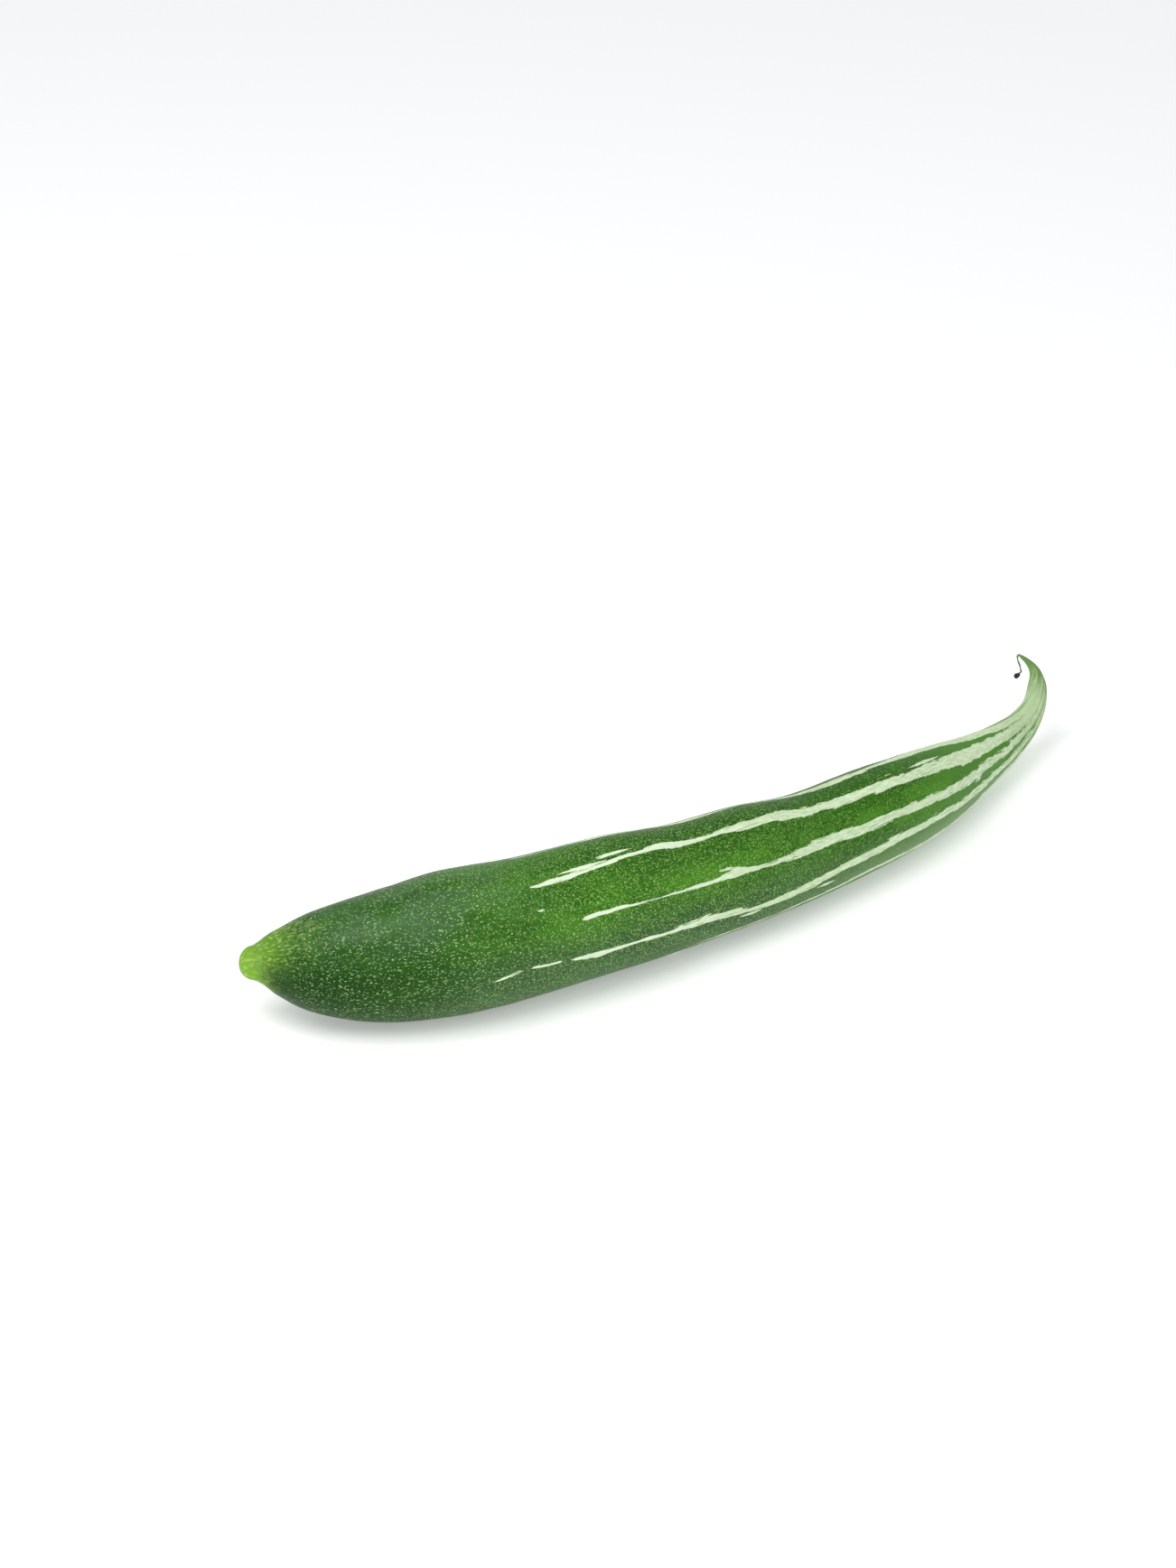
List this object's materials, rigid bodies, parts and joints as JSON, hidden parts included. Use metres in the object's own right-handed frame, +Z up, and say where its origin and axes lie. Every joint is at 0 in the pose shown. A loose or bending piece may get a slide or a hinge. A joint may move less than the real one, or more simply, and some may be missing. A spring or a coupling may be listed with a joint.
{
  "type": "snake gourd",
  "caption": "Long curved snake gourd with a rounded blossom end, pale stripes running to a thin hooked stalk tip, and a dried thread of stalk.",
  "frame": {"origin": "on the ground under the middle of the belly, at the middle of the flat strip that it rests on", "axes": "+X from the blossom end to the stalk end, +Y to the side that both ends curve towards, +Z up"},
  "size_m": [0.3348, 0.0694, 0.0459],
  "materials": {
    "gourd_skin": "waxy satin skin, green with pale stripes and fine pale speckles",
    "dried_stalk": "dry, dull olive brown",
    "withered_scrap": "shrivelled, matte, nearly black"
  },
  "bodies": {
    "root": {"fruit": "gourd_skin", "stalk_thread": "dried_stalk", "withered_knob": "withered_scrap"}
  },
  "joints": []
}
